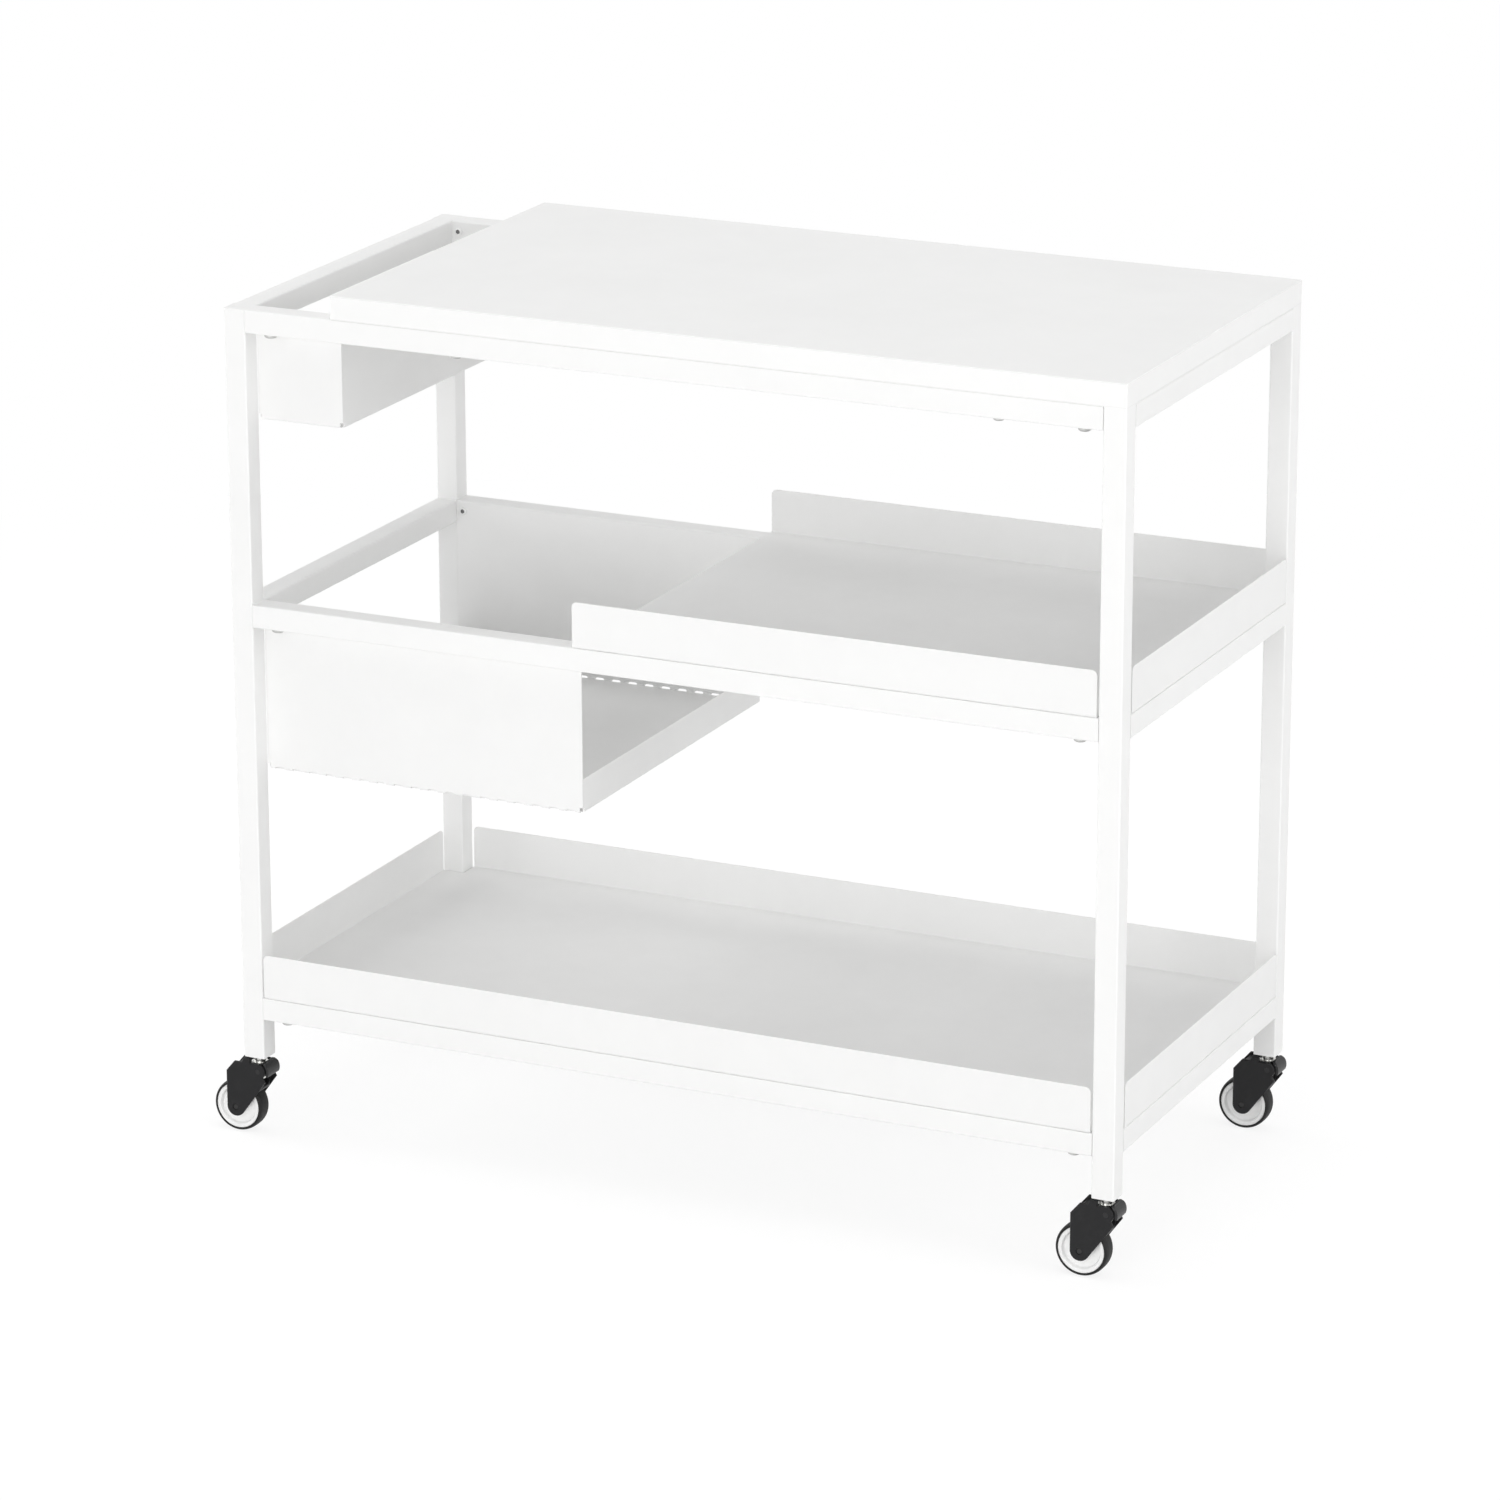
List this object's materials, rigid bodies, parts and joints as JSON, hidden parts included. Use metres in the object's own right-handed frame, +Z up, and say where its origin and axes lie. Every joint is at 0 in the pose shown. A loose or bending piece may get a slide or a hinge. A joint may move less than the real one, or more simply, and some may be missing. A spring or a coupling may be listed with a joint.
{
  "type": "microwave cart",
  "caption": "Rolling kitchen cart of white square tube with a part-length worktop, two lipped trays and two hanging bins at one end, on braked swivel casters.",
  "frame": {"origin": "on the floor, under the middle of the whole cart with its casters trailing to -X", "axes": "+X to the right along the length, away from the end that carries the bins; +Y to the back; +Z up"},
  "size_m": [0.9294, 0.4334, 0.83],
  "materials": {
    "coated_tube": "satin powder coat",
    "coated_sheet": "satin powder coat",
    "worktop": "white laminate",
    "screw_steel": "zinc plated",
    "zinc_steel": "bright zinc",
    "socket_plastic": "moulded",
    "moulded_hood": "fine moulded grain",
    "moulded_lever": "fine moulded grain",
    "wheel_disc": "satin moulded",
    "tyre": "smooth rubber"
  },
  "bodies": {
    "cart": {"caster_stem_back_left": "zinc_steel", "caster_stem_back_right": "zinc_steel", "caster_stem_front_left": "zinc_steel", "caster_stem_front_right": "zinc_steel", "large_bin": "coated_sheet", "large_bin_screws": "screw_steel", "low_rail_back": "coated_tube", "low_rail_front": "coated_tube", "low_rail_left": "coated_tube", "low_rail_right": "coated_tube", "low_rail_screws": "screw_steel", "low_spigots": "coated_tube", "low_tray": "coated_sheet", "middle_rail_back": "coated_tube", "middle_rail_front": "coated_tube", "middle_rail_left": "coated_tube", "middle_rail_right": "coated_tube", "middle_rail_screws": "screw_steel", "middle_spigots": "coated_tube", "middle_tray": "coated_sheet", "post_back_left": "coated_tube", "post_back_right": "coated_tube", "post_front_left": "coated_tube", "post_front_right": "coated_tube", "small_bin": "coated_sheet", "small_bin_screws": "screw_steel", "stem_socket_back_left": "socket_plastic", "stem_socket_back_right": "socket_plastic", "stem_socket_front_left": "socket_plastic", "stem_socket_front_right": "socket_plastic", "top_rail_back": "coated_tube", "top_rail_front": "coated_tube", "top_rail_left": "coated_tube", "top_rail_right": "coated_tube", "top_rail_screws": "screw_steel", "top_spigots": "coated_tube", "worktop": "worktop", "worktop_screws": "screw_steel"},
    "fork_front_left": {"caster_hood_front_left": "moulded_hood", "caster_axle_front_left": "zinc_steel"},
    "wheel_front_left": {"caster_wheel_front_left": "wheel_disc", "caster_tyre_front_left": "tyre"},
    "brake_front_left": {"brake_lever_front_left": "moulded_lever"},
    "fork_front_right": {"caster_hood_front_right": "moulded_hood", "caster_axle_front_right": "zinc_steel"},
    "wheel_front_right": {"caster_wheel_front_right": "wheel_disc", "caster_tyre_front_right": "tyre"},
    "brake_front_right": {"brake_lever_front_right": "moulded_lever"},
    "fork_back_left": {"caster_hood_back_left": "moulded_hood", "caster_axle_back_left": "zinc_steel"},
    "wheel_back_left": {"caster_wheel_back_left": "wheel_disc", "caster_tyre_back_left": "tyre"},
    "brake_back_left": {"brake_lever_back_left": "moulded_lever"},
    "fork_back_right": {"caster_hood_back_right": "moulded_hood", "caster_axle_back_right": "zinc_steel"},
    "wheel_back_right": {"caster_wheel_back_right": "wheel_disc", "caster_tyre_back_right": "tyre"},
    "brake_back_right": {"brake_lever_back_right": "moulded_lever"}
  },
  "joints": [
    {"name": "swivel_front_left", "type": "hinge", "parent": "cart", "child": "fork_front_left", "pos_m": [-0.41825, -0.204, 0.0705], "axis": [0, 0, 1], "continuous": true},
    {"name": "roll_front_left", "type": "hinge", "parent": "fork_front_left", "child": "wheel_front_left", "pos_m": [-0.43925, -0.204, 0.0255], "axis": [0, 1, 0], "continuous": true},
    {"name": "brake_lever_front_left", "type": "hinge", "parent": "fork_front_left", "child": "brake_front_left", "pos_m": [-0.41425, -0.204, 0.0645], "axis": [0, 1, 0], "range_deg": [0, 11]},
    {"name": "swivel_front_right", "type": "hinge", "parent": "cart", "child": "fork_front_right", "pos_m": [0.44975, -0.204, 0.0705], "axis": [0, 0, 1], "continuous": true},
    {"name": "roll_front_right", "type": "hinge", "parent": "fork_front_right", "child": "wheel_front_right", "pos_m": [0.42875, -0.204, 0.0255], "axis": [0, 1, 0], "continuous": true},
    {"name": "brake_lever_front_right", "type": "hinge", "parent": "fork_front_right", "child": "brake_front_right", "pos_m": [0.45375, -0.204, 0.0645], "axis": [0, 1, 0], "range_deg": [0, 11]},
    {"name": "swivel_back_left", "type": "hinge", "parent": "cart", "child": "fork_back_left", "pos_m": [-0.41825, 0.204, 0.0705], "axis": [0, 0, 1], "continuous": true},
    {"name": "roll_back_left", "type": "hinge", "parent": "fork_back_left", "child": "wheel_back_left", "pos_m": [-0.43925, 0.204, 0.0255], "axis": [0, 1, 0], "continuous": true},
    {"name": "brake_lever_back_left", "type": "hinge", "parent": "fork_back_left", "child": "brake_back_left", "pos_m": [-0.41425, 0.204, 0.0645], "axis": [0, 1, 0], "range_deg": [0, 11]},
    {"name": "swivel_back_right", "type": "hinge", "parent": "cart", "child": "fork_back_right", "pos_m": [0.44975, 0.204, 0.0705], "axis": [0, 0, 1], "continuous": true},
    {"name": "roll_back_right", "type": "hinge", "parent": "fork_back_right", "child": "wheel_back_right", "pos_m": [0.42875, 0.204, 0.0255], "axis": [0, 1, 0], "continuous": true},
    {"name": "brake_lever_back_right", "type": "hinge", "parent": "fork_back_right", "child": "brake_back_right", "pos_m": [0.45375, 0.204, 0.0645], "axis": [0, 1, 0], "range_deg": [0, 11]}
  ]
}
